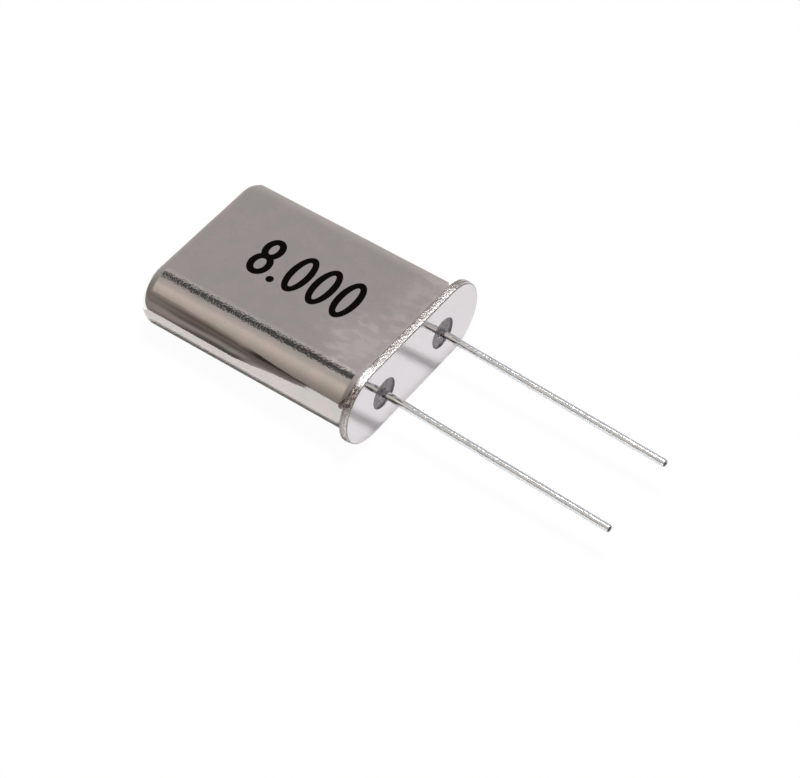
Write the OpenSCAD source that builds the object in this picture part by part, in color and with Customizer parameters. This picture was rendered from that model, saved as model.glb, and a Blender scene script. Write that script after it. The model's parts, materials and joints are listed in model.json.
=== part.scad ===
// Quartz crystal unit in a tall, thin, resistance-welded metal can with two wire leads.
//
// A drawn cover is welded by its flange to the rim of a base plate. Two leads pass through the
// base in glass seals. Inside, each lead's head carries a folded spring clip, and the two clips
// hold a thin quartz disc by its edge. A silver film on each face of the disc is its electrode.
//
// Every module models its piece with the can upright: the seating face of the base at z = 0,
// the closed end of the cover up, the leads down, the front of the can towards +X.
// lay_down() then lays the piece on the back of the can, as the finished part rests: leads
// towards +X, front up. The origin stays at the centre of the seating face. All sizes in mm.

/* [Cover] */
// Width across the round sides
cover_w = 10.2; // [9.4:0.1:12]
// Thickness between the flat faces
cover_t = 3.65; // [3.3:0.05:4.6]
// Height from the seating face to the closed end
cover_h = 13.4; // [11.5:0.1:16]
// Thickness of the drawn sheet
cover_wall = 0.25; // [0.15:0.01:0.35]
// Outside radius round the closed end
end_round = 0.8; // [0.5:0.05:1.3]
// Outside radius where the wall turns out into the flange
flare_round = 0.25; // [0.1:0.05:0.35]
// How far the flange stands out from the wall
flange_w = 0.4; // [0.3:0.02:0.8]

/* [Base] */
// Thickness of the base's rim, under the flange
rim_t = 0.2; // [0.15:0.01:0.5]
// How far the base's rim stands back from the edge of the flange
rim_inset = 0.03; // [0:0.01:0.1]
// Rounding of the outer edges of flange and rim
edge_round = 0.06; // [0.02:0.01:0.1]
// Thickness of the base through its pedestal
base_t = 1.5; // [1:0.05:2.2]
// Gap all round between the pedestal and the inside of the cover
pedestal_clearance = 0.08; // [0.03:0.01:0.3]

/* [Glass seals] */
// Diameter of the seals and of the holes they fill
seal_d = 1.75; // [1.3:0.05:2.3]
// How deep the glass lies below the seating face
seal_recess = 0.08; // [0.02:0.01:0.2]
// Width and height of the small cone of glass that climbs the lead
meniscus = 0.1; // [0.03:0.01:0.2]

/* [Leads] */
// Distance between the leads at the base
lead_pitch = 4.88; // [4:0.01:5.4]
// Diameter of the wire
lead_d = 0.4; // [0.3:0.01:0.6]
// Length outside the base
lead_length = 13.1; // [3:0.1:20]
// Chamfer at the cut end
lead_chamfer = 0.06; // [0.02:0.01:0.12]
// Angle by which the leads are bent towards the back of the can
lead_droop = 3.6; // [0:0.1:8]
// Length of straight wire between the seating face and the bend
lead_bend_start = 0.1; // [0:0.05:1]
// Radius of the bend, at the middle of the wire
lead_bend_round = 1.5; // [0.5:0.1:4]
// Diameter of the flat head on the inner end
head_d = 0.9; // [0.7:0.05:1.2]
// Thickness of that head
head_t = 0.2; // [0.1:0.05:0.4]
// Gap between the base and the underside of the head
head_gap = 0.3; // [0.1:0.05:0.6]

/* [Quartz blank] */
// Fundamental frequency in MHz, which sets the thickness of the blank
frequency = 8; // [4:1:16]
// Diameter of the blank
blank_d = 8; // [7.2:0.1:8.4]
// Least gap between the blank and what is below it
blank_gap = 0.35; // [0.15:0.05:0.8]
// Diameter of the round part of the electrodes
electrode_d = 4.6; // [3:0.1:6]
// Width of the tab that leads from an electrode to its clip
tab_w = 0.9; // [0.85:0.05:1.5]
// Thickness of the silver film, drawn thicker than the real one
film_t = 0.02; // [0.01:0.01:0.04]
// Radius of the adhesive dots
dot_r = 0.4; // [0.2:0.05:0.42]

/* [Support clips] */
// Thickness of the spring strip
clip_t = 0.12; // [0.08:0.01:0.14]
// Width of the spring strip
clip_w = 1.4; // [1.1:0.1:1.8]
// How far the edge of the blank reaches through the clip's inner face
grip = 0.15; // [0.14:0.01:0.25]
// Clearance all round the blank in the clip's slot
slot_clearance = 0.04; // [0.02:0.01:0.08]
// Length of strip beyond each end of the slot
slot_margin = 0.5; // [0.3:0.05:1]

/* [Hidden] */
$fn = 96;

LEFT = -1;
RIGHT = 1;
FRONT = 1;
BACK = -1;

// Thickness in mm of a 1 MHz blank of the AT cut, which vibrates in shear through its thickness
at_cut_constant = 1.661;

// The obround outlines share the centres of their round ends, side_centre from the middle
side_r = cover_t / 2;
side_centre = cover_w / 2 - side_r;
inner_r = side_r - cover_wall;
pedestal_r = inner_r - pedestal_clearance;
flange_r = side_r + flange_w;
flange_top = rim_t + cover_wall;
flare_top = flange_top + flare_round;
// The rounding is no larger than the sheet and the flat of the flange allow
rim_round = min(edge_round, rim_t, cover_wall, flange_w - flare_round);

// The can lies on the edge of its flange and the round of its closed end
rest_run = (cover_h - end_round) - (flange_top - rim_round);
rest_rise = (flange_r - rim_round) - (side_r - end_round);
rest_tilt = atan2(rest_rise, rest_run) - asin((end_round - rim_round) / norm([rest_run, rest_rise]));

lead_r = lead_d / 2;
lead_bent = lead_length - lead_bend_start - lead_bend_round * lead_droop * PI / 180;
head_top = base_t + head_gap + head_t;

blank_t = at_cut_constant / frequency;
blank_r = blank_d / 2;
clip_inner = blank_r - grip;
foot_inner = lead_pitch / 2 - head_d / 2;
foot_top = head_top + clip_t;
// Lowest height of the blank's centre that clears the base in the middle and the clips' feet
blank_z = blank_gap + max(base_t + blank_r, foot_top + sqrt(pow(blank_r, 2) - pow(foot_inner, 2)));
slot_w = blank_t + 2 * slot_clearance;
slot_half = sqrt(pow(blank_r + slot_clearance, 2) - pow(clip_inner, 2));
clip_top = blank_z + slot_half + slot_margin;

// How far a cut runs past what it cuts
cut_past = 1;

// Turns a piece from upright to how it lies at rest
module lay_down() {
    rotate([0, -90 - rest_tilt, 0]) children();
}

// Sweeps a half-section round the obround outline. In the section, x is the distance from the
// line between the centres of the round ends, and y is the height.
module obround_sweep() {
    for (side = [LEFT, RIGHT])
        translate([0, side * side_centre, 0])
            rotate([0, 0, side == RIGHT ? 0 : 180]) rotate_extrude(angle = 180) children();
    rotate([90, 0, 0])
        translate([0, 0, -side_centre]) linear_extrude(2 * side_centre) {
            children();
            mirror([1, 0]) children();
        }
}

// A quarter of a ring of sheet, from the +X side to the +Y side of its centre
module quarter_ring(inner, outer) {
    intersection() {
        square(outer);
        difference() {
            circle(outer);
            circle(inner);
        }
    }
}

// A strip from the line between the centres out to r, its far edge rounded on one side
module rounded_strip(from, r, height, round) {
    translate([from, 0]) square([r - round - from, height]);
    translate([r - round, 0]) square([round, height - round]);
    translate([r - round, height - round]) intersection() {
        square(round);
        circle(round);
    }
}

// Half-section of the drawn sheet: end, rounded corner, wall, flare and flange, end to end
module cover_section() {
    translate([0, cover_h - cover_wall]) square([side_r - end_round, cover_wall]);
    translate([side_r - end_round, cover_h - end_round])
        quarter_ring(end_round - cover_wall, end_round);
    translate([inner_r, flare_top]) square([cover_wall, cover_h - end_round - flare_top]);
    translate([side_r + flare_round, flare_top])
        rotate(180) quarter_ring(flare_round, flare_round + cover_wall);
    translate([0, rim_t]) rounded_strip(side_r + flare_round, flange_r, cover_wall, rim_round);
}

// Half-section of the base: rim, its lower edge rounded, and pedestal
module base_section() {
    translate([0, rim_t]) mirror([0, 1])
        rounded_strip(0, flange_r - rim_inset, rim_t, rim_round);
    translate([0, rim_t]) square([pedestal_r, base_t - rim_t]);
}

module cover() {
    color([0.66, 0.63, 0.61]) lay_down() obround_sweep() cover_section();
}

module base_plate() {
    color([0.87, 0.85, 0.86]) lay_down() difference() {
        obround_sweep() base_section();
        for (side = [LEFT, RIGHT])
            translate([0, side * lead_pitch / 2, -cut_past])
                cylinder(d = seal_d, h = base_t + 2 * cut_past);
    }
}

// Glass bead, flush inside, with a small cone of glass round the lead outside
module glass_seal(side) {
    color([0.42, 0.41, 0.42]) lay_down() translate([0, side * lead_pitch / 2, 0]) rotate_extrude()
        polygon([
            [lead_r, seal_recess - meniscus],
            [lead_r + meniscus, seal_recess],
            [seal_d / 2, seal_recess],
            [seal_d / 2, base_t],
            [lead_r, base_t]
        ]);
}

// Round wire: a flat head inside, straight through the seal, then a slight bend and a long
// straight end, slightly chamfered where it was cut
module lead(side) {
    color([0.82, 0.82, 0.81]) lay_down() translate([0, side * lead_pitch / 2, 0]) {
        translate([0, 0, head_top - head_t]) cylinder(d = head_d, h = head_t);
        translate([0, 0, -lead_bend_start])
            cylinder(d = lead_d, h = lead_bend_start + head_top - head_t);
        translate([-lead_bend_round, 0, -lead_bend_start]) {
            if (lead_droop > 0)
                rotate([-90, 0, 0]) rotate_extrude(angle = lead_droop)
                    translate([lead_bend_round, 0]) circle(d = lead_d);
            rotate([0, lead_droop, 0]) translate([lead_bend_round, 0, -lead_bent]) {
                translate([0, 0, lead_chamfer]) cylinder(d = lead_d, h = lead_bent - lead_chamfer);
                cylinder(d1 = lead_d - 2 * lead_chamfer, d2 = lead_d, h = lead_chamfer);
            }
        }
    }
}

// Spring strip folded once: a foot welded on the lead's head, and an upright with a slot that
// the edge of the blank stands in
module support_clip(side) {
    color([0.74, 0.70, 0.62]) lay_down() mirror([0, side == LEFT ? 1 : 0, 0]) {
        translate([-clip_w / 2, foot_inner, head_top])
            cube([clip_w, clip_inner + clip_t - foot_inner, clip_t]);
        difference() {
            translate([-clip_w / 2, clip_inner, foot_top])
                cube([clip_w, clip_t, clip_top - foot_top]);
            translate([-slot_w / 2, clip_inner - cut_past, blank_z - slot_half])
                cube([slot_w, clip_t + 2 * cut_past, 2 * slot_half]);
        }
    }
}

module quartz_blank() {
    color([0.90, 0.91, 0.88, 0.75]) lay_down()
        translate([-blank_t / 2, 0, blank_z]) rotate([0, 90, 0]) cylinder(d = blank_d, h = blank_t);
}

// Silver film with a round middle and a tab to the clip on one side
module electrode(face, side) {
    color([0.85, 0.85, 0.86]) lay_down()
        translate([face * (blank_t / 2 + (face == FRONT ? 0 : film_t)), 0, blank_z]) {
            rotate([0, 90, 0]) cylinder(d = electrode_d, h = film_t);
            translate([0, side == RIGHT ? 0 : -clip_inner, -tab_w / 2])
                cube([film_t, clip_inner, tab_w]);
        }
}

// Quarter ball of adhesive in the corner between a clip's upright and its electrode's tab
module adhesive(face, side) {
    color([0.60, 0.60, 0.62]) lay_down()
        translate([face * (blank_t / 2 + film_t), side * clip_inner, blank_z]) intersection() {
            sphere(dot_r);
            translate([face == FRONT ? 0 : -dot_r, side == LEFT ? 0 : -dot_r, -dot_r])
                cube([dot_r, dot_r, 2 * dot_r]);
        }
}

cover();
base_plate();
glass_seal(LEFT);  // glass_seal_left
glass_seal(RIGHT);  // glass_seal_right
lead(LEFT);  // lead_left
lead(RIGHT);  // lead_right
support_clip(LEFT);  // support_clip_left
support_clip(RIGHT);  // support_clip_right
quartz_blank();
electrode(FRONT, LEFT);  // electrode_front
electrode(BACK, RIGHT);  // electrode_back
adhesive(FRONT, LEFT);  // adhesive_left
adhesive(BACK, RIGHT);  // adhesive_right
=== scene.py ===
import json
import math

import bmesh
import bpy
from mathutils import Matrix, Vector, noise


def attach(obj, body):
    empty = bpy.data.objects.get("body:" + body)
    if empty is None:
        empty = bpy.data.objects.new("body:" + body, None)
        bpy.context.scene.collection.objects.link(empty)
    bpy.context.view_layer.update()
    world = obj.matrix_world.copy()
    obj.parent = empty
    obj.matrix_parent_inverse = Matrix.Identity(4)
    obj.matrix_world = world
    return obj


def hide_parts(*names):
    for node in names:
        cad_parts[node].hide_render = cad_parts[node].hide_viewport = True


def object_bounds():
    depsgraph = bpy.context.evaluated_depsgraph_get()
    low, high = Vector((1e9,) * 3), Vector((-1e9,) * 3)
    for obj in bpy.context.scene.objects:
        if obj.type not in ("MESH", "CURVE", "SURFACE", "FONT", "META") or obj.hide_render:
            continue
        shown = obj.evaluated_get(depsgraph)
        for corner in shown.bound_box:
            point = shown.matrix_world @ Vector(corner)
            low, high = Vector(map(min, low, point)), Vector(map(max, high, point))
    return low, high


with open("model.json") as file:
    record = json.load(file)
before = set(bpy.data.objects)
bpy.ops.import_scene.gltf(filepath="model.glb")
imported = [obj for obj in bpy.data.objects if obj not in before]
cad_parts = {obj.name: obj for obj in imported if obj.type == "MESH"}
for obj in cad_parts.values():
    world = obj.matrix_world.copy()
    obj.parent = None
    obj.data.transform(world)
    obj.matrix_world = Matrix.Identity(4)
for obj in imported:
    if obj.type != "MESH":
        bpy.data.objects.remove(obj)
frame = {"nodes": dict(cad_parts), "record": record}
cad_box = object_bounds()
scene = bpy.context.scene

# ---------------------------------------------------------------------------------------------
# The can's own frame. The crystal unit lies on the back of its can, and the flange tips it up a
# little. Pieces are shaped with the can level: X out of the base, Y across both leads, Z out of
# the front. Lengths are written in millimetres and multiplied by MM.
MM = 0.001
seating_face = next(m for m in frame["record"]["mounts"] if m["name"] == "seating_face")
out_of_base = Vector(seating_face["axis"]).normalized()
across_leads = Vector((0, 1, 0))
out_of_front = out_of_base.cross(across_leads)
can_to_row = Matrix((out_of_base, across_leads, out_of_front)).transposed()

# ---------------------------------------------------------------------------------------------
# Camera. It looks down on the front of the can, over its round side, from the end of the leads.
# Its angles are those of the can's frame, and it is moved a little left and down.
view_azimuth = math.radians(36.04)
view_elevation = math.radians(48.81)
view_distance = 123.6 * MM
aim_right = -0.667 * MM
aim_up = -1.272 * MM

level = Vector((math.sin(view_azimuth), -math.cos(view_azimuth), 0))
back = can_to_row @ (level * math.cos(view_elevation) + Vector((0, 0, math.sin(view_elevation))))
right = can_to_row @ Vector((math.cos(view_azimuth), math.sin(view_azimuth), 0))
up = back.cross(right)
camera = bpy.data.objects.new("camera", bpy.data.cameras.new("camera"))
camera.data.lens = 113.84
camera.data.sensor_width = 36
camera.data.clip_start = 1 * MM
camera.data.clip_end = 10000 * MM
camera_place = Matrix.Translation(back * view_distance + right * aim_right + up * aim_up)
camera.matrix_world = camera_place @ Matrix((right, up, back)).transposed().to_4x4()
scene.collection.objects.link(camera)
scene.camera = camera

# ---------------------------------------------------------------------------------------------
# Cover. A deep-drawn can of thin nickel-plated sheet: flat faces, round sides, a rounded closed
# end, and a flange turned out all round its mouth, which is resistance-welded to the base.
sheet_t = 0.25
end_round = 0.8
flare_round = 0.25
flare_stretch = 2
edge_round = 0.06
spatter_w = 0.12
spatter_h = 0.016
corner_step = 0.02
crease = math.radians(35)
half_round_steps = 128


def can_points(node):
    """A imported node's vertices in the can's frame, in millimetres."""
    to_can = can_to_row.transposed()
    return [to_can @ v.co / MM for v in frame["nodes"][node].data.vertices]


cover_points = can_points("cover")
closed_end = min(p.x for p in cover_points)
rim_joint = max(p.x for p in cover_points)
flange_r = max(p.z for p in cover_points)
wall_points = [p for p in cover_points if p.x < closed_end / 2]
side_r = max(p.z for p in wall_points)
side_centre = max(p.y for p in wall_points) - side_r
wall_inner = side_r - sheet_t
flange_top = rim_joint - sheet_t
flare_top = flange_top - flare_round
flare_start = flange_top - flare_stretch * flare_round


def line(start, end, steps):
    """Points of a profile from start towards end, without the last one. The first and the last
    step are short, so that a corner's shading stays at the corner."""
    start, end = Vector(start), Vector(end)
    short = min(corner_step / (end - start).length, 0.25)
    shares = [0] + [short + (1 - 2 * short) * i / steps for i in range(steps + 1)]
    return [start.lerp(end, share) for share in shares]


def arc(centre, radius, from_degrees, to_degrees, steps):
    """Points of a profile on an arc, without the last one."""
    sweep = to_degrees - from_degrees
    angles = [math.radians(from_degrees + sweep * i / steps) for i in range(steps)]
    return [Vector(centre) + radius * Vector((math.cos(a), math.sin(a))) for a in angles]


def obround_outline(steps):
    """Steps round the obround outline as (y of the nearest centre, outward y, outward z)."""
    outline = []
    for side in (-1, 1):
        for i in range(steps):
            angle = math.pi * i / steps
            outline.append((side * side_centre, side * math.sin(angle), -side * math.cos(angle)))
        for i in range(steps):
            outline.append((side * side_centre * (1 - 2 * i / steps), 0, side))
    return outline


def join_rings(mesh, rings, closed=False):
    """Faces between each ring of vertices and the next, and if closed from last to first."""
    following = rings[1:] + rings[:1] if closed else rings[1:]
    for low, high in zip(rings, following):
        for i, corner in enumerate(low):
            mesh.faces.new((corner, low[i - 1], high[i - 1], high[i]))


def piece_from(mesh, name):
    """Turns a bmesh into a smooth-shaded object with sharp corners."""
    data = bpy.data.meshes.new(name)
    mesh.to_mesh(data)
    mesh.free()
    data.shade_smooth()
    data.set_sharp_from_angle(angle=crease)
    piece = bpy.data.objects.new(name, data)
    scene.collection.objects.link(piece)
    return piece


def sweep_obround(name, profile, surface):
    """An object of a profile of (x, distance from the line between the centres) points, swept
    round the obround outline. surface(point, outward) gives how far a point stands proud."""
    mesh = bmesh.new()
    rings = []
    for x, r in profile:
        ring = []
        for centre_y, out_y, out_z in obround_outline(half_round_steps):
            point = Vector((x, centre_y + r * out_y, r * out_z))
            point += surface(point, Vector((0, out_y, out_z)))
            ring.append(mesh.verts.new(can_to_row @ point * MM))
        rings.append(ring)
    join_rings(mesh, rings)
    bmesh.ops.remove_doubles(mesh, verts=mesh.verts, dist=1e-8)
    bmesh.ops.recalc_face_normals(mesh, faces=mesh.faces)
    return piece_from(mesh, name)


def weld_spatter(point, outward):
    """Rough skin that the weld leaves on the outer edge of the flange and of the base's rim."""
    nearest_y = math.copysign(min(abs(point.y), side_centre), point.y)
    distance = Vector((point.y - nearest_y, point.z)).length
    reach = max(0.0, (distance - flange_r + spatter_w) / spatter_w)
    coarse = noise.noise(point * 9)
    fine = noise.noise(point * 21)
    return outward * (spatter_h * (coarse + 0.6 * fine) - spatter_h / 2) * min(1.0, reach)


end_centre = (closed_end + end_round, side_r - end_round)
flare_centre = (flare_top, side_r + flare_round)
flare = [
    Vector((flare_start + flare_stretch * (p.x - flare_top), p.y))
    for p in arc(flare_centre, flare_round, -90, 0, 14)
]
cover_profile = (
    line((closed_end, 0), (closed_end, side_r - end_round), 6)
    + arc(end_centre, end_round, 180, 90, 16)
    + line((closed_end + end_round, side_r), (flare_start, side_r), 40)
    + flare
    + line((flange_top, side_r + flare_round), (flange_top, flange_r - edge_round), 3)
    + arc((flange_top + edge_round, flange_r - edge_round), edge_round, 180, 90, 4)
    + line((flange_top + edge_round, flange_r), (rim_joint, flange_r), 6)
    + line((rim_joint, flange_r), (rim_joint, side_r + flare_round), 4)
    + arc(flare_centre, flare_round + sheet_t, 0, -90, 8)
    + line((flare_top, wall_inner), (closed_end + end_round, wall_inner), 6)
    + arc(end_centre, end_round - sheet_t, 90, 180, 6)
    + [Vector((closed_end + sheet_t, side_r - end_round)), Vector((closed_end + sheet_t, 0))]
)
drawn_cover = sweep_obround("drawn_cover", cover_profile, weld_spatter)


class Tone:
    """A shader value that varies over a surface. Arithmetic on it adds Math nodes."""

    def __init__(self, finish, socket):
        self.finish = finish
        self.socket = socket

    def __add__(self, other):
        return self.finish.math("ADD", self, other)

    def __radd__(self, other):
        return self.finish.math("ADD", other, self)

    def __sub__(self, other):
        return self.finish.math("SUBTRACT", self, other)

    def __rsub__(self, other):
        return self.finish.math("SUBTRACT", other, self)

    def __mul__(self, other):
        return self.finish.math("MULTIPLY", self, other)

    def __rmul__(self, other):
        return self.finish.math("MULTIPLY", other, self)

    def __truediv__(self, other):
        return self.finish.math("DIVIDE", self, other)

    def __abs__(self):
        return self.finish.math("ABSOLUTE", self)


class Finish:
    """The node tree of one material, or of the light around the object."""

    def __init__(self, tree):
        self.tree = tree
        tree.nodes.clear()

    def node(self, kind, settings=None, inputs=None, output=0):
        """Adds a node: first its settings, where stops are a ramp's, then its sockets' values."""
        node = self.tree.nodes.new(kind)
        for name, value in (settings or {}).items():
            if name == "stops":
                elements = node.color_ramp.elements
                for _ in value[len(elements):]:
                    elements.new(1)
                for element, (position, colour) in zip(elements, value):
                    element.position = position
                    element.color = (*colour, 1)
            else:
                setattr(node, name, value)
        for name, value in (inputs or {}).items():
            if isinstance(value, Tone):
                self.tree.links.new(value.socket, node.inputs[name])
            else:
                node.inputs[name].default_value = value
        return Tone(self, node.outputs[output]) if node.outputs else None

    def math(self, operation, *values):
        """A Math node, which the arithmetic of tones comes down to."""
        return self.node("ShaderNodeMath", {"operation": operation}, dict(enumerate(values)))

    def position(self):
        """The point of the surface, in millimetres of the row's frame."""
        place = self.node("ShaderNodeTexCoord", output="Object")
        return self.node("ShaderNodeVectorMath", {"operation": "SCALE"}, {0: place, "Scale": 1 / MM})

    def along(self, place, direction):
        """How far a place lies along a direction of the row's frame."""
        return self.node(
            "ShaderNodeVectorMath", {"operation": "DOT_PRODUCT"}, {0: place, 1: direction}, "Value")

    def distance(self, place, other):
        """How far a place is from another one."""
        return self.node(
            "ShaderNodeVectorMath", {"operation": "DISTANCE"}, {0: place, 1: other}, "Value")

    def grain(self, place, per_mm, detail=2, stretch=(1, 1, 1)):
        """Noise from 0 to 1 with about so many spots to the millimetre. A share under 1 in
        stretch draws the spots out along that axis."""
        drawn = self.node("ShaderNodeVectorMath", {"operation": "MULTIPLY"}, {0: place, 1: stretch})
        return self.node(
            "ShaderNodeTexNoise", None, {"Vector": drawn, "Scale": per_mm, "Detail": detail})

    def fade(self, value, start, end):
        """0 at start and 1 at end, smoothly."""
        return self.node(
            "ShaderNodeMapRange", {"interpolation_type": "SMOOTHSTEP"},
            {"Value": value, "From Min": start, "From Max": end})

    def mix(self, share, first, second):
        """A colour from first to second."""
        return self.node(
            "ShaderNodeMix", {"data_type": "RGBA"}, {0: share, 6: first, 7: second}, 2)

    def relief(self, height):
        """A normal from a height in millimetres."""
        return self.node("ShaderNodeBump", None, {"Height": height, "Distance": MM})

    def surface(self, shader):
        """Makes a shader the material's own."""
        self.node("ShaderNodeOutputMaterial", None, {"Surface": shader})

    def solid(self, inputs):
        """Makes the material a metal, glass or paint with these values."""
        self.surface(self.node("ShaderNodeBsdfPrincipled", None, inputs))


def new_material(name):
    """A material, and its finish to be filled in."""
    material = bpy.data.materials.new(name)
    material.use_nodes = True
    return material, Finish(material.node_tree)


def paint(piece, material):
    """Gives a piece one material all over."""
    piece.data.materials.clear()
    piece.data.materials.append(material)


def outward_reach(finish, place):
    """How far a place stands from the line between the obround's two centres."""
    aside = finish.math("MAXIMUM", abs(finish.along(place, across_leads)) - side_centre, 0.0)
    height = finish.along(place, out_of_front)
    return finish.math("SQRT", aside * aside + height * height)


weld_speckle_and_shade_dark = (0.33, 0.29, 0.28, 1)
weld_speckle_and_highlight_pale = (0.97, 0.94, 0.93, 1)
# Colours of a painted dark reflection on the welded edge
reflection_dark = (0.07, 0.05, 0.045, 1)
reflection_pale = (0.62, 0.56, 0.54, 1)
reflection_middle = can_to_row @ Vector((-0.3, -side_centre - 1.5, 1.6))
# Middle of the painted highlight on the welded edge, by the can's near corner
highlight_middle = can_to_row @ Vector((-0.2, -side_centre - 0.35, flange_r))


def weld_edge_and_painted_light(finish, place, lowest_x, reflection_from, colour):
    """The outer edge, cut by shears and welded, over a metal's colour: speckled, with painted shade
    at its back, a painted highlight at one place, and a painted dark reflection at another. Gives
    the edge's mask, the colour and the height."""
    reach = outward_reach(finish, place)
    out = finish.along(place, out_of_base)
    edge = finish.fade(reach, flange_r - 0.11, flange_r - 0.05)
    edge = edge * finish.fade(out, lowest_x, lowest_x + 0.03)
    edge = edge * finish.fade(out, -0.005, -0.04)

    shear = finish.grain(place, 22, 2, (0.7, 1, 1))
    # Painted highlight: one patch of the edge is made pale where the lamp would shine on it
    painted_highlight = finish.fade(finish.distance(place, highlight_middle), 0.7, 0.45)
    # Painted shade: the speckle turns dark towards the back of the edge, by the cover's flare
    front = finish.math("MAXIMUM", finish.fade(out, flange_top + 0.08, flange_top + 0.33), painted_highlight)
    pale = finish.math("MAXIMUM", 0.8 * finish.fade(shear, 0.38, 0.56), 0.9 * painted_highlight)
    speckled = finish.mix(pale * (0.1 + 0.9 * front), weld_speckle_and_shade_dark, weld_speckle_and_highlight_pale)

    # Painted reflection: a streaked dark brown patch on the edge at one place
    lines = 0.5 * shear + 0.5 * finish.grain(place, 6, 3, (3, 0.7, 0.7))
    painted_reflection = finish.mix(finish.fade(lines, 0.45, 0.56), reflection_dark, reflection_pale)
    from_reflection = finish.distance(place, reflection_middle) + 0.6 * finish.grain(place, 2.5, 3)
    brown = finish.fade(from_reflection, 1.2, 0.8)
    brown = brown * finish.fade(reach, reflection_from, reflection_from + 0.08)
    colour = finish.mix(brown, finish.mix(edge, colour, speckled), painted_reflection)
    return edge, colour, 0.021 * shear * edge


nickel_pink = (0.670, 0.601, 0.593, 1)
nickel_green = (0.610, 0.593, 0.558, 1)
nickel_by_weld = (0.86, 0.79, 0.775, 1)
heat_middle = can_to_row @ Vector((-2.0, -2.0, side_r))

satin_nickel, finish = new_material("satin_nickel")
place = finish.position()
# How far round the side a place is: below 0 on the flat faces, 1 at the outermost line
bend = (abs(finish.along(place, across_leads)) - side_centre) / side_r
flat = 1 - finish.fade(bend, 0.32, 0.46)
shoulder = flat * finish.fade(bend, -0.15, 0.05)
# Pale clouds where the weld's heat reached the face
out = finish.along(place, out_of_base)
cloud = finish.grain(place, 0.9, 5)
streaks = finish.fade(finish.grain(place, 2.4, 4, (0.6, 1, 1)), 0.42, 0.68)
heat = 0.8 * finish.fade(finish.distance(place, heat_middle) + 3 * cloud, 4.3, 1.6)
heat = heat + 0.45 * finish.fade(out + cloud, -2.8, -0.6)
heat = heat * (0.6 + 1.2 * streaks)
mottle = 0.6 * finish.grain(place, 1.1, 5) + 0.4 * finish.grain(place, 8, 3)
colour = finish.mix(finish.fade(mottle, 0.44, 0.56), nickel_pink, nickel_green)
colour = finish.mix(heat * flat, colour, nickel_by_weld)
# The welded edge, with its painted shade, painted highlight and painted reflection
edge, colour, weld_height = weld_edge_and_painted_light(finish, place, flange_top, side_r + 0.07, colour)
# Drawing leaves the metal rough where it bends, and the faces a little wavy
grain_share = 0.05 + 0.07 * flat + 0.88 * shoulder
grain_height = 0.0105 * finish.grain(place, 10.5, 1) * grain_share
wave_height = 0.012 * finish.grain(place, 0.7, 1)
finish.solid({
    "Base Color": colour,
    "Metallic": 1.0,
    "Roughness": 0.05 + 0.05 * finish.grain(place, 2.5, 4) + 0.28 * edge,
    "Normal": finish.relief(grain_height + wave_height + weld_height),
})
paint(drawn_cover, satin_nickel)
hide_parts("cover")
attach(drawn_cover, "root")

# ---------------------------------------------------------------------------------------------
# Base plate. A stamped plate, polished before plating, whose rim is welded to the cover's
# flange. Its thick middle fits inside the cover, and two holes pass the glass seals.
base_points = can_points("base_plate")
base_back = min(p.x for p in base_points)
base_r = max(p.z for p in base_points)
pedestal_r = max(p.z for p in base_points if p.x < base_back / 2)
seal_points = can_points("glass_seal_right")
seal_y = (max(p.y for p in seal_points) + min(p.y for p in seal_points)) / 2
seal_r = max(p.z for p in seal_points)
hole_steps = 96
hole_over = 1

base_profile = (
    line((0, 0), (0, base_r - edge_round), 3)
    + arc((-edge_round, base_r - edge_round), edge_round, 0, 90, 4)
    + line((-edge_round, base_r), (rim_joint, base_r), 5)
    + line((rim_joint, base_r), (rim_joint, pedestal_r), 2)
    + line((rim_joint, pedestal_r), (base_back, pedestal_r), 2)
    + [Vector((base_back, pedestal_r)), Vector((base_back, 0))]
)
stamped_base = sweep_obround("stamped_base", base_profile, weld_spatter)


def hole_tool(y, from_x, to_x):
    """A cylinder along the leads, to cut a seal's hole with."""
    mesh = bmesh.new()
    middle = Matrix.Translation(Vector(((from_x + to_x) / 2, y, 0)))
    bmesh.ops.create_cone(
        mesh, cap_ends=True, segments=hole_steps, radius1=seal_r, radius2=seal_r,
        depth=to_x - from_x, matrix=middle @ Matrix.Rotation(math.pi / 2, 4, "Y"))
    for v in mesh.verts:
        v.co = can_to_row @ v.co * MM
    return piece_from(mesh, "hole")


def cut(piece, tool):
    """Takes the tool's space out of the piece, and removes the tool."""
    difference = piece.modifiers.new("cut", "BOOLEAN")
    difference.object = tool
    difference.solver = "EXACT"
    bpy.context.view_layer.update()
    shaped = piece.evaluated_get(bpy.context.evaluated_depsgraph_get())
    shaped_mesh = bpy.data.meshes.new_from_object(shaped)
    piece.modifiers.clear()
    piece.data = shaped_mesh
    bpy.data.objects.remove(tool)


for side in (-1, 1):
    cut(stamped_base, hole_tool(side * seal_y, base_back - hole_over, hole_over))
stamped_base.data.set_sharp_from_angle(angle=crease)

plate_dim = (0.70, 0.67, 0.69, 1)
plate_bright = (0.735, 0.705, 0.725, 1)
edge_reflection_dark = (0.22, 0.20, 0.20, 1)

polished_nickel, finish = new_material("polished_nickel")
place = finish.position()
colour = finish.mix(finish.grain(place, 0.8, 3), plate_dim, plate_bright)
# The welded edge, with its painted shade, painted highlight and painted reflection
edge, colour, weld_height = weld_edge_and_painted_light(finish, place, rim_joint - 0.1, flange_r - 0.1, colour)
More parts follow.
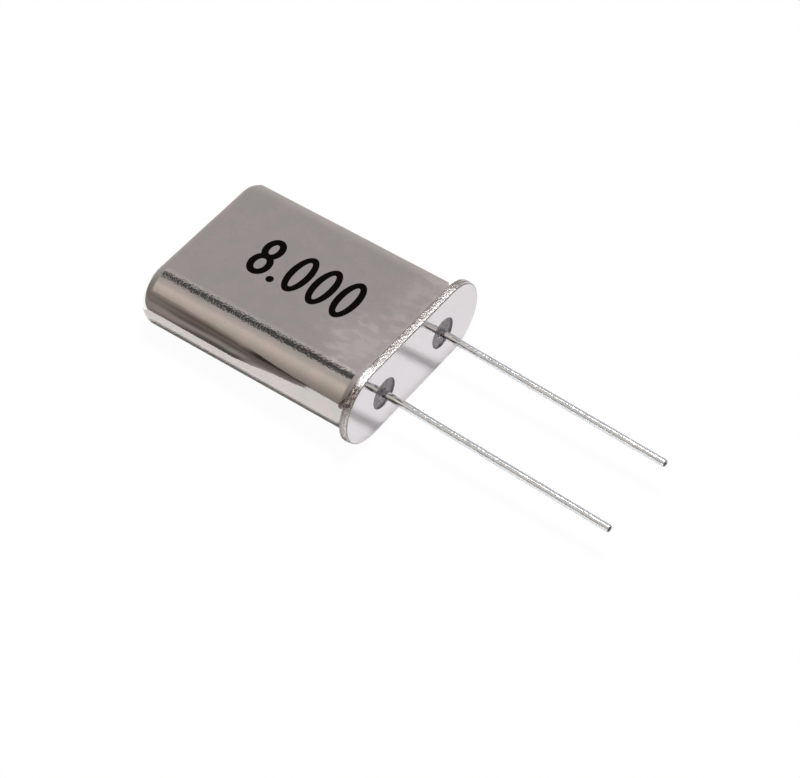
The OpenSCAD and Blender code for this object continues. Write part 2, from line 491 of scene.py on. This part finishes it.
# Painted reflection: a thin dark line where the stamped edge turns into the polished face
edge_reflection = finish.fade(outward_reach(finish, place), base_r - 0.08, base_r - 0.05)
edge_reflection = edge_reflection * finish.fade(finish.along(place, out_of_base), -0.06, -0.03)
finish.solid({
    "Base Color": finish.mix(0.75 * edge_reflection, colour, edge_reflection_dark),
    "Metallic": 1.0,
    "Roughness": 0.05 + 0.04 * finish.grain(place, 3, 4) + 0.32 * edge,
    "Normal": finish.relief(0.0004 * finish.grain(place, 6, 3) + weld_height),
})
paint(stamped_base, polished_nickel)
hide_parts("base_plate")
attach(stamped_base, "root")

# ---------------------------------------------------------------------------------------------
# Glass seals. Dark glass beads fused into the base's holes. The glass lies a little below the
# seating face, and climbs the hole's wall and the wire a little.
lead_pin = next(m for m in frame["record"]["mounts"] if m["name"] == "lead_right")
lead_r = lead_pin["dims"]["r_mm"]
glass_floor = -0.08
wire_climb = 0.1
wall_climb = 0.05
climb_top = glass_floor + wire_climb
climb_r = lead_r + wire_climb
glass_dark = (0.125, 0.110, 0.122, 1)
glass_pale = (0.245, 0.218, 0.240, 1)


def turned(name, profile, centre_y, steps=96):
    """An object of a profile of (x, distance from the axis) points, turned round a line along
    the leads."""
    mesh = bmesh.new()
    rings = []
    for x, r in profile:
        angles = [2 * math.pi * i / steps for i in range(steps)]
        points = [Vector((x, centre_y + r * math.cos(a), r * math.sin(a))) for a in angles]
        rings.append([mesh.verts.new(can_to_row @ point * MM) for point in points])
    join_rings(mesh, rings, closed=True)
    bmesh.ops.recalc_face_normals(mesh, faces=mesh.faces)
    return piece_from(mesh, name)


bead_profile = (
    arc((climb_top, climb_r), wire_climb, 270, 180, 8)
    + line((glass_floor, climb_r), (glass_floor, seal_r - wall_climb), 8)
    + arc((glass_floor + wall_climb, seal_r - wall_climb), wall_climb, 180, 90, 5)
    + line((glass_floor + wall_climb, seal_r), (base_back, seal_r), 2)
    + line((base_back, seal_r), (base_back, lead_r), 2)
    + line((base_back, lead_r), (climb_top, lead_r), 2)
)
seal_glass, finish = new_material("seal_glass")
place = finish.position()
clouded = finish.fade(finish.grain(place, 5, 4), 0.3, 0.7)
finish.solid({
    "Base Color": finish.mix(clouded, glass_dark, glass_pale),
    "Roughness": 0.1 + 0.12 * finish.grain(place, 4, 3),
    "IOR": 1.5,
    "Normal": finish.relief(0.003 * finish.grain(place, 5, 3)),
})
for side, name in ((-1, "left"), (1, "right")):
    glass_bead = turned(f"glass_bead_{name}", bead_profile, side * seal_y)
    paint(glass_bead, seal_glass)
    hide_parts(f"glass_seal_{name}")
    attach(glass_bead, "root")

# ---------------------------------------------------------------------------------------------
# Leads. Round iron-nickel wire with a flat head inside, dipped in tin, which leaves the surface
# a little uneven. Each one is bent slightly towards the back of the can and cut off with shears.
bend_start = 0.1
bend_round = 1.5
head_t = 0.2
cut_round = 0.13
cut_beyond = 0.07
tin_uneven = 0.006
bare_to = 1.3
wire_steps = 32
bend_steps = 6
long_steps = 240
cut_steps = 5

lead_points = can_points("lead_right")
lead_head = min(p.x for p in lead_points)
cut_end = max(p.x for p in lead_points)
head_r = max(p.y for p in lead_points) - seal_y
lead_axis = can_to_row.transposed() @ Vector(lead_pin["axis"])
droop = math.atan2(-lead_axis.z, lead_axis.x)


def bent(angle):
    """A point of the wire's centre line in the bend, where it leans by so much."""
    x = bend_start + bend_round * math.sin(angle)
    return Vector((x, 0, -bend_round * (1 - math.cos(angle))))


# The mount's pin stops a little short of the wire's rounded tip
pin_middle = can_to_row.transposed() @ Vector(lead_pin["pos_m"]) / MM
pin_end = Vector((pin_middle.x, 0, pin_middle.z)) + lead_axis * lead_pin["dims"]["length_mm"] / 2
wire_end = pin_end + cut_beyond * lead_axis
straight_end = wire_end - cut_round * lead_axis


def wire_stations():
    """Rings of the wire as (centre, lean, radius): its flat head, the way through the seal, the
    bend, the long end and its rounded cut."""
    head_back = Vector((lead_head, 0, 0))
    head_front = Vector((lead_head + head_t, 0, 0))
    stations = [(head_back, 0, 0.0), (head_back, 0, head_r)]
    stations += [(head_front, 0, head_r), (head_front, 0, lead_r)]
    stations += [(Vector((bend_start, 0, 0)), 0, lead_r)]
    for i in range(1, bend_steps + 1):
        angle = droop * i / bend_steps
        stations.append((bent(angle), angle, lead_r))
    for i in range(1, long_steps + 1):
        stations.append((bent(droop).lerp(straight_end, i / long_steps), droop, lead_r))
    for i in range(1, cut_steps + 1):
        angle = math.pi / 2 * i / cut_steps
        tip = straight_end + lead_axis * cut_round * math.sin(angle)
        stations.append((tip, droop, lead_r - cut_round * (1 - math.cos(angle))))
    stations.append((straight_end + lead_axis * cut_round, droop, 0.0))
    return stations


def tinned_wire(name, centre_y, tin_from):
    """One lead. tin_from tells the two leads' unevenness apart."""
    mesh = bmesh.new()
    rings = []
    for centre, lean, radius in wire_stations():
        upward = Vector((math.sin(lean), 0, math.cos(lean)))
        ring = []
        for i in range(wire_steps):
            turn = 2 * math.pi * i / wire_steps
            outward = Vector((0, math.cos(turn), 0)) + upward * math.sin(turn)
            point = centre + outward * radius + Vector((0, centre_y, 0))
            if radius == lead_r and centre.x > bend_start:
                tin = noise.noise(Vector((point.x * 1.6, point.y * 3, point.z * 3 + tin_from)))
                point += outward * tin_uneven * tin
            ring.append(mesh.verts.new(can_to_row @ point * MM))
        rings.append(ring)
    join_rings(mesh, rings)
    bmesh.ops.remove_doubles(mesh, verts=mesh.verts, dist=1e-8)
    bmesh.ops.recalc_face_normals(mesh, faces=mesh.faces)
    return piece_from(mesh, name)


tin_dim = (0.745, 0.765, 0.785, 1)
tin_bright = (0.86, 0.88, 0.90, 1)
bare_reflection_dark = (0.05, 0.047, 0.045, 1)
bare_reflection_bright = (0.96, 0.97, 0.98, 1)
tip_shade_dark = (0.08, 0.08, 0.085, 1)

tinned, finish = new_material("tinned")
place = finish.position()
out = finish.along(place, out_of_base)
height = finish.along(place, out_of_front)
uneven = finish.grain(place, 3, 4)
dull = finish.mix(finish.fade(finish.grain(place, 7, 4), 0.35, 0.65), tin_dim, tin_bright)
# By the base the wire is bare. A painted reflection gives it dark flanks and bright streaks along its
# top and bottom (drawn)
tin = finish.fade(out + uneven, bare_to, bare_to + 0.4)
lines = finish.grain(place, 6, 2, (0.2, 1, 1))
drawn = finish.fade(abs(height - 0.03) + 0.1 * lines, 0.08, 0.12)
drawn = drawn * finish.fade(lines, 0.34, 0.44)
bare_reflection = finish.mix(drawn, bare_reflection_dark, bare_reflection_bright)
# Painted shade: the lower half of the cut end is darkened
tip_shade = finish.fade(out, cut_end - 0.1, cut_end - 0.04)
low = height + 0.3 * finish.grain(place, 5, 2)
tip_shade = tip_shade * finish.fade(low, wire_end.z + 0.33, wire_end.z + 0.2)
finish.solid({
    "Base Color": finish.mix(tip_shade, finish.mix(tin, bare_reflection, dull), tip_shade_dark),
    "Metallic": 1.0,
    "Roughness": 0.05 + 0.06 * uneven + 0.12 * tin,
    "Normal": finish.relief(0.009 * finish.grain(place, 7, 3) * tin),
})
for side, name, tin_from in ((-1, "left", 3.0), (1, "right", 47.0)):
    wire = tinned_wire(f"tinned_lead_{name}", side * seal_y, tin_from)
    paint(wire, tinned)
    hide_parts(f"lead_{name}")
    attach(wire, "root")

# ---------------------------------------------------------------------------------------------
# Marking. The frequency in megahertz, printed in black ink in the middle of the front face. The
# ink is a thin layer of its own that lies on the nickel.
mark = "8.000"
digit_h = 2.67
digit_w = 1.27
stroke = 0.37
digit_gap = 0.2
point_w = 0.42
ink_t = 0.012
mark_middle = Vector((-6.58, 0.12))


def oval(centre, half_w, half_h, from_degrees=0, to_degrees=360, steps=64):
    """Points on an oval's outline, without the last one."""
    sweep = to_degrees - from_degrees
    angles = [math.radians(from_degrees + sweep * i / steps) for i in range(steps)]
    return [Vector(centre) + Vector((half_w * math.cos(a), half_h * math.sin(a))) for a in angles]


def waist_height(upper, lower):
    """Height at which two ovals on one line, each (middle, half width, half height), cross."""
    def width(middle, half_w, half_h, y):
        return half_w * math.sqrt(max(0.0, 1 - ((y - middle) / half_h) ** 2))

    low = upper[0] - upper[2]
    high = lower[0] + lower[2]
    for _ in range(40):
        y = (low + high) / 2
        if width(*upper, y) < width(*lower, y):
            low = y
        else:
            high = y
    return y


def digit_outlines(digit, left):
    """Outlines of one digit, outer first, then its holes. left is the x of its left edge."""
    half_h = digit_h / 2
    if digit == ".":
        return [oval((left + point_w / 2, -half_h + point_w / 2), point_w / 2, point_w / 2)]
    middle = left + digit_w / 2
    if digit == "0":
        return [
            oval((middle, 0), digit_w / 2, half_h),
            oval((middle, 0), digit_w / 2 - stroke, half_h - stroke),
        ]
    # An 8 is two ovals that share one stroke's width where they cross
    upper_h = 0.245 * digit_h + stroke / 4
    lower_h = half_h - upper_h + stroke / 2
    upper_w = 0.45 * digit_w
    lower_w = digit_w / 2
    upper_y = half_h - upper_h
    lower_y = -half_h + lower_h
    waist = waist_height((upper_y, upper_w, upper_h), (lower_y, lower_w, lower_h))
    upper_angle = math.degrees(math.asin((waist - upper_y) / upper_h))
    lower_angle = math.degrees(math.asin((waist - lower_y) / lower_h))
    return [
        oval((middle, upper_y), upper_w, upper_h, upper_angle, 180 - upper_angle)
        + oval((middle, lower_y), lower_w, lower_h, 180 - lower_angle, 360 + lower_angle),
        oval((middle, upper_y), upper_w - stroke, upper_h - stroke),
        oval((middle, lower_y), lower_w - stroke, lower_h - stroke),
    ]


widths = [point_w if digit == "." else digit_w for digit in mark]
mark_w = sum(widths) + digit_gap * (len(mark) - 1)
ink_curve = bpy.data.curves.new("frequency_mark", "CURVE")
ink_curve.dimensions = "2D"
ink_curve.fill_mode = "BOTH"
ink_curve.extrude = ink_t / 2 * MM
left = -mark_w / 2
for digit, width in zip(mark, widths):
    for outline in digit_outlines(digit, left):
        spline = ink_curve.splines.new("POLY")
        spline.points.add(len(outline) - 1)
        for spline_point, (x, y) in zip(spline.points, outline):
            spline_point.co = (x * MM, y * MM, 0, 1)
        spline.use_cyclic_u = True
    left += width + digit_gap
ink_pattern = bpy.data.objects.new("ink_pattern", ink_curve)
scene.collection.objects.link(ink_pattern)
bpy.context.view_layer.update()
filled_pattern = ink_pattern.evaluated_get(bpy.context.evaluated_depsgraph_get())
ink_mesh = bpy.data.meshes.new_from_object(filled_pattern)
bpy.data.objects.remove(ink_pattern)
ink_place = Vector((mark_middle.x, mark_middle.y, side_r)) * MM
ink_mesh.transform(can_to_row.to_4x4() @ Matrix.Translation(ink_place))
frequency_mark = bpy.data.objects.new("frequency_mark", ink_mesh)
scene.collection.objects.link(frequency_mark)

ink_dark = (0.001, 0.0006, 0.0006, 1)
ink_pale = (0.005, 0.003, 0.003, 1)

black_ink, finish = new_material("black_ink")
place = finish.position()
finish.solid({
    "Base Color": finish.mix(finish.grain(place, 12, 3), ink_dark, ink_pale),
    "Roughness": 0.6 + 0.2 * finish.grain(place, 8, 2),
    "Specular IOR Level": 0.02,
    "Normal": finish.relief(0.002 * finish.grain(place, 10, 2)),
})
paint(frequency_mark, black_ink)
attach(frequency_mark, "root")

# ---------------------------------------------------------------------------------------------
# Inner pieces. Spring clips of thin nickel-plated strip stand on the leads' heads and hold the
# quartz blank by its edge. Silver films on the blank are its electrodes, joined to the clips by
# dots of silver-filled adhesive. All of it is sealed in the can.
strip_metal, finish = new_material("strip_metal")
place = finish.position()
strip_lines = (1, 8, 8)
finish.solid({
    "Base Color": finish.mix(finish.grain(place, 2, 4), (0.70, 0.66, 0.58, 1), (0.78, 0.74, 0.66, 1)),
    "Metallic": 1.0,
    "Roughness": 0.2 + 0.15 * finish.grain(place, 4, 4, strip_lines),
    "Normal": finish.relief(0.002 * finish.grain(place, 12, 3, strip_lines)),
})
quartz, finish = new_material("quartz")
place = finish.position()
finish.solid({
    "Base Color": finish.mix(finish.grain(place, 1, 3), (0.93, 0.94, 0.92, 1), (0.98, 0.98, 0.97, 1)),
    "Roughness": 0.12 + 0.1 * finish.grain(place, 3, 4),
    "Transmission Weight": 0.85,
    "IOR": 1.54,
    "Normal": finish.relief(0.0006 * finish.grain(place, 25, 3)),
})
silver_film, finish = new_material("silver_film")
place = finish.position()
finish.solid({
    "Base Color": finish.mix(finish.grain(place, 1.2, 4), (0.86, 0.85, 0.84, 1), (0.93, 0.92, 0.90, 1)),
    "Metallic": 1.0,
    "Roughness": 0.18 + 0.12 * finish.grain(place, 6, 4),
    "Normal": finish.relief(0.0006 * finish.grain(place, 25, 3)),
})
silver_adhesive, finish = new_material("silver_adhesive")
place = finish.position()
finish.solid({
    "Base Color": finish.mix(finish.grain(place, 30, 3), (0.42, 0.42, 0.43, 1), (0.66, 0.66, 0.67, 1)),
    "Metallic": finish.fade(finish.grain(place, 45, 2), 0.5, 0.65),
    "Roughness": 0.45 + 0.2 * finish.grain(place, 20, 2),
    "Normal": finish.relief(0.01 * finish.grain(place, 18, 3)),
})
inner_finish = {
    "support_clip_left": strip_metal, "support_clip_right": strip_metal, "quartz_blank": quartz,
    "electrode_front": silver_film, "electrode_back": silver_film,
    "adhesive_left": silver_adhesive, "adhesive_right": silver_adhesive,
}
for node, material in inner_finish.items():
    paint(frame["nodes"][node], material)

# ---------------------------------------------------------------------------------------------
# Table and lamp. A white table that reaches past the view on all sides, and one broad, soft lamp
# overhead. The table shows nearly white whatever falls on it, and keeps a faint soft shadow.
table_half = 1500
table_z = cad_box[0].z
table_glow = 0.965

table_mesh = bmesh.new()
bmesh.ops.create_grid(
    table_mesh, x_segments=1, y_segments=1, size=table_half * MM,
    matrix=Matrix.Translation((0, 0, table_z)))
table_data = bpy.data.meshes.new("table")
table_mesh.to_mesh(table_data)
table_mesh.free()
table = bpy.data.objects.new("table", table_data)
scene.collection.objects.link(table)
white_table, finish = new_material("white_table")
seen = finish.node("ShaderNodeLightPath", output="Is Camera Ray")
glow = finish.node("ShaderNodeEmission", None, {"Color": (1, 1, 1, 1), "Strength": 1.0})
sheet = finish.node("ShaderNodeBsdfDiffuse", None, {"Color": (0.96, 0.96, 0.96, 1)})
finish.surface(finish.node("ShaderNodeMixShader", None, {0: table_glow * seen, 1: sheet, 2: glow}))
paint(table, white_table)

lamp = bpy.data.objects.new("lamp", bpy.data.lights.new("lamp", "SUN"))
lamp.data.energy = 2.35
lamp.data.angle = math.radians(18)
lamp.rotation_euler = (-0.17, 0, 0)
scene.collection.objects.link(lamp)

# ---------------------------------------------------------------------------------------------
# Cards. They are seen only in what the object mirrors: a low brown box along its near side, a
# white card on the table behind it, and a grey card that stands beyond.
far_x = -60
far_y = 24
box_h = 4.95
box_top = [
    (far_x, -7.8, box_h), (-10.5, -7.8, box_h), (-8.8, -7.8, 4.45), (-8.1, -9.3, 4.35),
    (-8.7, -15.9, 4.25), (-11.4, -23.7, 4.35),
]
box_pale = (0.33, 0.30, 0.28, 1)
white_h = 0.02
white_corners = [(far_x, -7.4), (-14.7, -7.4), (-14.7, 5.8), (-1, 5.8), (-1, far_y), (far_x, far_y)]
grey_end = 30
grey_h = 4.2


def table_point(x, y, height):
    """A point over the table, from the can's x and y."""
    foot = (can_to_row @ Vector((x, y, 0)) * MM).xy.to_3d()
    return foot + Vector((0, 0, table_z + height * MM))


def mirrored_card(name, faces, strength, colour):
    """A glowing card of faces, each a list of (x, y, height over the table) corners.
    colour(finish, place) gives its colour."""
    card_mesh = bmesh.new()
    for face in faces:
        card_mesh.faces.new([card_mesh.verts.new(table_point(*corner)) for corner in face])
    card_data = bpy.data.meshes.new(name)
    card_mesh.to_mesh(card_data)
    card_mesh.free()
    card = bpy.data.objects.new(name, card_data)
    scene.collection.objects.link(card)
    for ray in ("camera", "diffuse", "shadow", "transmission", "volume_scatter"):
        setattr(card, f"visible_{ray}", False)
    material, finish = new_material(f"{name}_glow")
    shade = colour(finish, finish.position())
    finish.surface(finish.node("ShaderNodeEmission", None, {"Color": shade, "Strength": strength}))
    paint(card, material)


def box_brown(finish, place):
    """The box's colour by its height: layered on its long side, plainer on its end."""
    patches = finish.grain(place, 0.5, 4, (0.35, 0.35, 1)) - 0.5
    height = finish.along(place, Vector((0, 0, 1))) - table_z / MM + 2.2 * patches
    long_side = finish.node("ShaderNodeValToRGB", {"stops": [
        (0.0, (0.11, 0.10, 0.095)), (0.09, (0.13, 0.12, 0.115)), (0.19, (0.29, 0.27, 0.26)),
        (0.32, (0.38, 0.345, 0.335)), (0.42, (0.27, 0.245, 0.235)), (0.50, (0.13, 0.11, 0.10)),
        (0.62, (0.20, 0.175, 0.16)), (0.74, (0.14, 0.115, 0.10)), (0.82, (0.18, 0.15, 0.13)),
        (0.92, (0.34, 0.30, 0.27)), (1.0, (0.42, 0.38, 0.34)),
    ]}, {0: height / box_h})
    by_closed_end = 0.5 * finish.fade(finish.along(place, out_of_base), -11.2, -14.5)
    long_side = finish.mix(by_closed_end, long_side, box_pale)
    box_end = finish.node("ShaderNodeValToRGB", {"stops": [
        (0.0, (0.42, 0.39, 0.385)), (0.12, (0.28, 0.255, 0.25)), (0.4, (0.18, 0.165, 0.16)),
        (0.62, (0.14, 0.12, 0.11)), (0.74, (0.045, 0.033, 0.028)), (1.0, (0.04, 0.03, 0.025)),
    ]}, {0: height / box_h})
    round_corner = finish.fade(finish.along(place, across_leads), -7.9, -9.5)
    return finish.mix(round_corner, long_side, box_end)


def plain(*colour):
    """One colour all over a card."""
    return lambda finish, place: colour


box_faces = [
    [(*start[:2], 0), (*end[:2], 0), end, start] for start, end in zip(box_top, box_top[1:])
]
white_face = [(x, y, white_h) for x, y in white_corners]
grey_face = [
    (far_x, far_y, 0), (grey_end, far_y, 0), (grey_end, far_y, grey_h), (far_x, far_y, grey_h),
]
mirrored_card("brown_box", box_faces, 1.0, box_brown)
mirrored_card("white_card", [white_face], 1.45, plain(1, 1, 1, 1))
mirrored_card("grey_card", [grey_face], 1.0, plain(0.57, 0.55, 0.55, 1))

# ---------------------------------------------------------------------------------------------
# Light around the object. A white room to the eye, an even grey light on matt surfaces, and for
# bright metal to mirror, long pale lights overhead with a short dark gap between them.

# Bands by the angle from straight up, in degrees, towards the near side (-Y) if positive:
# over the can, and behind its closed end. Beyond the leads the room is plain.
over_bands = [
    (-100, (0.9, 0.9, 0.9)), (-91, (0.58, 0.56, 0.56)), (-75, (0.56, 0.54, 0.54)),
    (-60, (0.50, 0.485, 0.485)), (-50, (0.475, 0.455, 0.46)), (-31, (0.475, 0.455, 0.46)),
    (-27, (0.58, 0.56, 0.56)), (-18, (0.60, 0.58, 0.58)), (-16, (0.07, 0.07, 0.073)),
    (4, (0.07, 0.07, 0.07)), (6.5, (0.42, 0.41, 0.40)), (21, (0.60, 0.56, 0.53)),
    (33, (0.74, 0.675, 0.62)), (45, (0.69, 0.625, 0.57)), (57, (0.56, 0.50, 0.45)),
    (69, (0.42, 0.38, 0.34)), (81, (0.33, 0.30, 0.28)), (90, (0.28, 0.26, 0.24)),
    (95, (0.9, 0.9, 0.9)),
]
behind_bands = [
    (-90, (0.56, 0.54, 0.54)), (-35, (0.47, 0.45, 0.455)), (0, (0.45, 0.43, 0.43)),
    (20, (0.38, 0.36, 0.35)), (64, (0.27, 0.245, 0.23)), (90, (0.18, 0.16, 0.15)),
]
beyond_leads = (0.30, 0.29, 0.29, 1)
matt_light = (0.25, 0.25, 0.25, 1)
white = (1, 1, 1, 1)
gap_dark = 0.1
gap_middle = -0.387

world = bpy.data.worlds.new("studio")
scene.world = world
world.use_nodes = True
finish = Finish(world.node_tree)
direction = finish.node("ShaderNodeTexCoord", output="Generated")
toward_x, toward_y, toward_z = (finish.along(direction, axis) for axis in Matrix.Identity(3))
turn = finish.math("ARCTAN2", toward_y * -1, toward_z) / math.radians(360) + 0.5


def room(bands):
    """The room's colour by the angle from straight up."""
    stops = [((angle + 180) / 360, colour) for angle, colour in bands]
    return finish.node("ShaderNodeValToRGB", {"stops": stops}, {0: turn})


# Past the ends of the dark gap the bands run on without it
even_bands = [band for band in over_bands if band[1][0] > gap_dark]
gap_share = finish.fade(abs(toward_x - gap_middle), 0.24, 0.14)
over = finish.mix(gap_share, room(even_bands), room(over_bands))
mirrored = finish.mix(finish.fade(toward_x, -0.68, -0.52), room(behind_bands), over)
mirrored = finish.mix(finish.fade(toward_x, 0.48, 0.66), mirrored, beyond_leads)
glossy = finish.node("ShaderNodeLightPath", output="Is Glossy Ray")
seen = finish.node("ShaderNodeLightPath", output="Is Camera Ray")
shown = finish.mix(seen, finish.mix(glossy, matt_light, mirrored), white)
background = finish.node("ShaderNodeBackground", None, {"Color": shown, "Strength": 1.0})
finish.node("ShaderNodeOutputWorld", None, {"Surface": background})

scene.view_settings.view_transform = "Standard"
